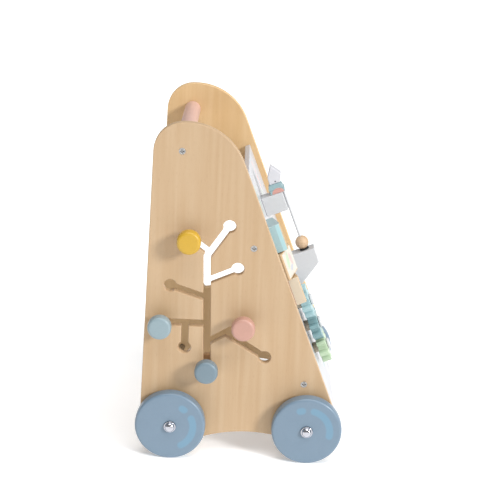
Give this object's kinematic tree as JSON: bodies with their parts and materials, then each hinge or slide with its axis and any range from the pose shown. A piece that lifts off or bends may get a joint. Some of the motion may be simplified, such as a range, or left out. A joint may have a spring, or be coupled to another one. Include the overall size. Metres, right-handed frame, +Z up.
{
  "type": "baby walker",
  "caption": "Wooden push-along baby walker on wheels, with a tree maze of sliding knobs, turning picture blocks, gears and a bead slider.",
  "frame": {"origin": "on the floor, midway between the axles and midway between the side panels", "axes": "+X towards the front, the way the walker is pushed; +Y across, away from the panel with the tree maze; +Z up"},
  "size_m": [0.294, 0.351, 0.4845],
  "materials": {
    "plywood": "clear satin lacquer",
    "beech": "sanded and oiled",
    "printed_wood": "satin lacquer over printed pictures",
    "teal_block_paint": "satin paint",
    "ball_wood": "gloss lacquer",
    "rose_paint": "satin paint",
    "zinc_steel": "zinc plated",
    "chrome_cap": "polished",
    "white_board": "satin paint with printed leaves",
    "peg_paint": "satin paint",
    "white_paint": "satin paint",
    "bird_white": "satin paint",
    "teal_paint": "satin paint",
    "salmon_paint": "satin paint",
    "black_rubber": "matte",
    "wheel_paint": "satin paint with a printed highlight",
    "yellow_paint": "satin paint",
    "sky_paint": "satin paint",
    "pink_paint": "satin paint",
    "blue_paint": "satin paint",
    "sky_gear_paint": "satin paint",
    "teal_gear_paint": "satin paint",
    "green_gear_paint": "satin paint"
  },
  "bodies": {
    "frame": {"side_panel_near": "plywood", "side_panel_far": "plywood", "handle_bar": "rose_paint", "near_batten": "beech", "far_batten": "beech", "panel_screws": "zinc_steel", "front_board": "white_board", "board_screws": "zinc_steel", "front_axle": "zinc_steel", "rear_axle": "zinc_steel", "axle_washers": "zinc_steel", "axle_caps": "chrome_cap", "block_rod": "zinc_steel", "gear_pegs": "beech", "gear_caps": "white_paint", "upper_bracket": "white_paint", "lower_bracket": "white_paint", "slider_rod": "white_paint", "stop_ring": "black_rubber", "bird_base": "salmon_paint", "bird_body": "teal_paint", "bird_head": "bird_white"},
    "front_wheel_near_body": {"front_wheel_near": "wheel_paint"},
    "front_wheel_far_body": {"front_wheel_far": "wheel_paint"},
    "rear_wheel_near_body": {"rear_wheel_near": "wheel_paint"},
    "rear_wheel_far_body": {"rear_wheel_far": "wheel_paint"},
    "yellow_slider": {"yellow_knob": "yellow_paint", "yellow_peg": "peg_paint", "yellow_keeper": "beech"},
    "sky_slider": {"sky_knob": "sky_paint", "sky_peg": "peg_paint", "sky_keeper": "beech"},
    "pink_slider": {"pink_knob": "pink_paint", "pink_peg": "peg_paint", "pink_keeper": "beech"},
    "blue_slider": {"blue_knob": "blue_paint", "blue_peg": "peg_paint", "blue_keeper": "beech"},
    "top_block_body": {"top_block": "teal_block_paint"},
    "middle_block_body": {"middle_block": "printed_wood"},
    "lower_block_body": {"lower_block": "printed_wood"},
    "sky_gear_body": {"sky_gear": "sky_gear_paint"},
    "teal_gear_body": {"teal_gear": "teal_gear_paint"},
    "green_gear_body": {"green_gear": "green_gear_paint"},
    "ball_body": {"slider_ball": "ball_wood"}
  },
  "joints": [
    {"name": "front_wheel_near_roll", "type": "hinge", "parent": "frame", "child": "front_wheel_near_body", "pos_m": [0.097, -0.1585, 0.05], "axis": [0, 1, 0], "continuous": true},
    {"name": "front_wheel_far_roll", "type": "hinge", "parent": "frame", "child": "front_wheel_far_body", "pos_m": [0.097, 0.1585, 0.05], "axis": [0, 1, 0], "continuous": true},
    {"name": "rear_wheel_near_roll", "type": "hinge", "parent": "frame", "child": "rear_wheel_near_body", "pos_m": [-0.097, -0.1585, 0.05], "axis": [0, 1, 0], "continuous": true},
    {"name": "rear_wheel_far_roll", "type": "hinge", "parent": "frame", "child": "rear_wheel_far_body", "pos_m": [-0.097, 0.1585, 0.05], "axis": [0, 1, 0], "continuous": true},
    {"name": "yellow_slide", "type": "slide", "parent": "frame", "child": "yellow_slider", "axis": [0.8135, 0, -0.5815], "range_m": [0, 0.03]},
    {"name": "sky_slide", "type": "slide", "parent": "frame", "child": "sky_slider", "axis": [1, 0, 0], "range_m": [0, 0.03]},
    {"name": "pink_slide", "type": "slide", "parent": "frame", "child": "pink_slider", "axis": [-0.8578, 0, -0.514], "range_m": [0, 0.018]},
    {"name": "blue_slide", "type": "slide", "parent": "frame", "child": "blue_slider", "axis": [-0.0272, 0, 0.9996], "range_m": [0, 0.126]},
    {"name": "top_block_turn", "type": "hinge", "parent": "frame", "child": "top_block_body", "pos_m": [0.02878, -0.089, 0.3095], "axis": [-0.3678, 0, 0.9299], "continuous": true},
    {"name": "middle_block_turn", "type": "hinge", "parent": "frame", "child": "middle_block_body", "pos_m": [0.04393, -0.089, 0.27118], "axis": [-0.3678, 0, 0.9299], "continuous": true},
    {"name": "lower_block_turn", "type": "hinge", "parent": "frame", "child": "lower_block_body", "pos_m": [0.05908, -0.089, 0.23287], "axis": [-0.3678, 0, 0.9299], "continuous": true},
    {"name": "sky_gear_turn", "type": "hinge", "parent": "frame", "child": "sky_gear_body", "pos_m": [0.09164, -0.036, 0.19951], "axis": [0.9299, 0, 0.3678], "continuous": true},
    {"name": "teal_gear_turn", "type": "hinge", "parent": "frame", "child": "teal_gear_body", "pos_m": [0.10698, -0.02482, 0.1607], "axis": [0.9299, 0, 0.3678], "continuous": true},
    {"name": "green_gear_turn", "type": "hinge", "parent": "frame", "child": "green_gear_body", "pos_m": [0.12233, -0.01364, 0.1219], "axis": [0.9299, 0, 0.3678], "continuous": true},
    {"name": "ball_slide", "type": "slide", "parent": "frame", "child": "ball_body", "axis": [-0.3678, 0, 0.9299], "range_m": [0, 0.044]}
  ],
  "couplings": [
    {"joint": "sky_gear_turn", "follows": "teal_gear_turn", "ratio": -1},
    {"joint": "green_gear_turn", "follows": "teal_gear_turn", "ratio": -1}
  ]
}
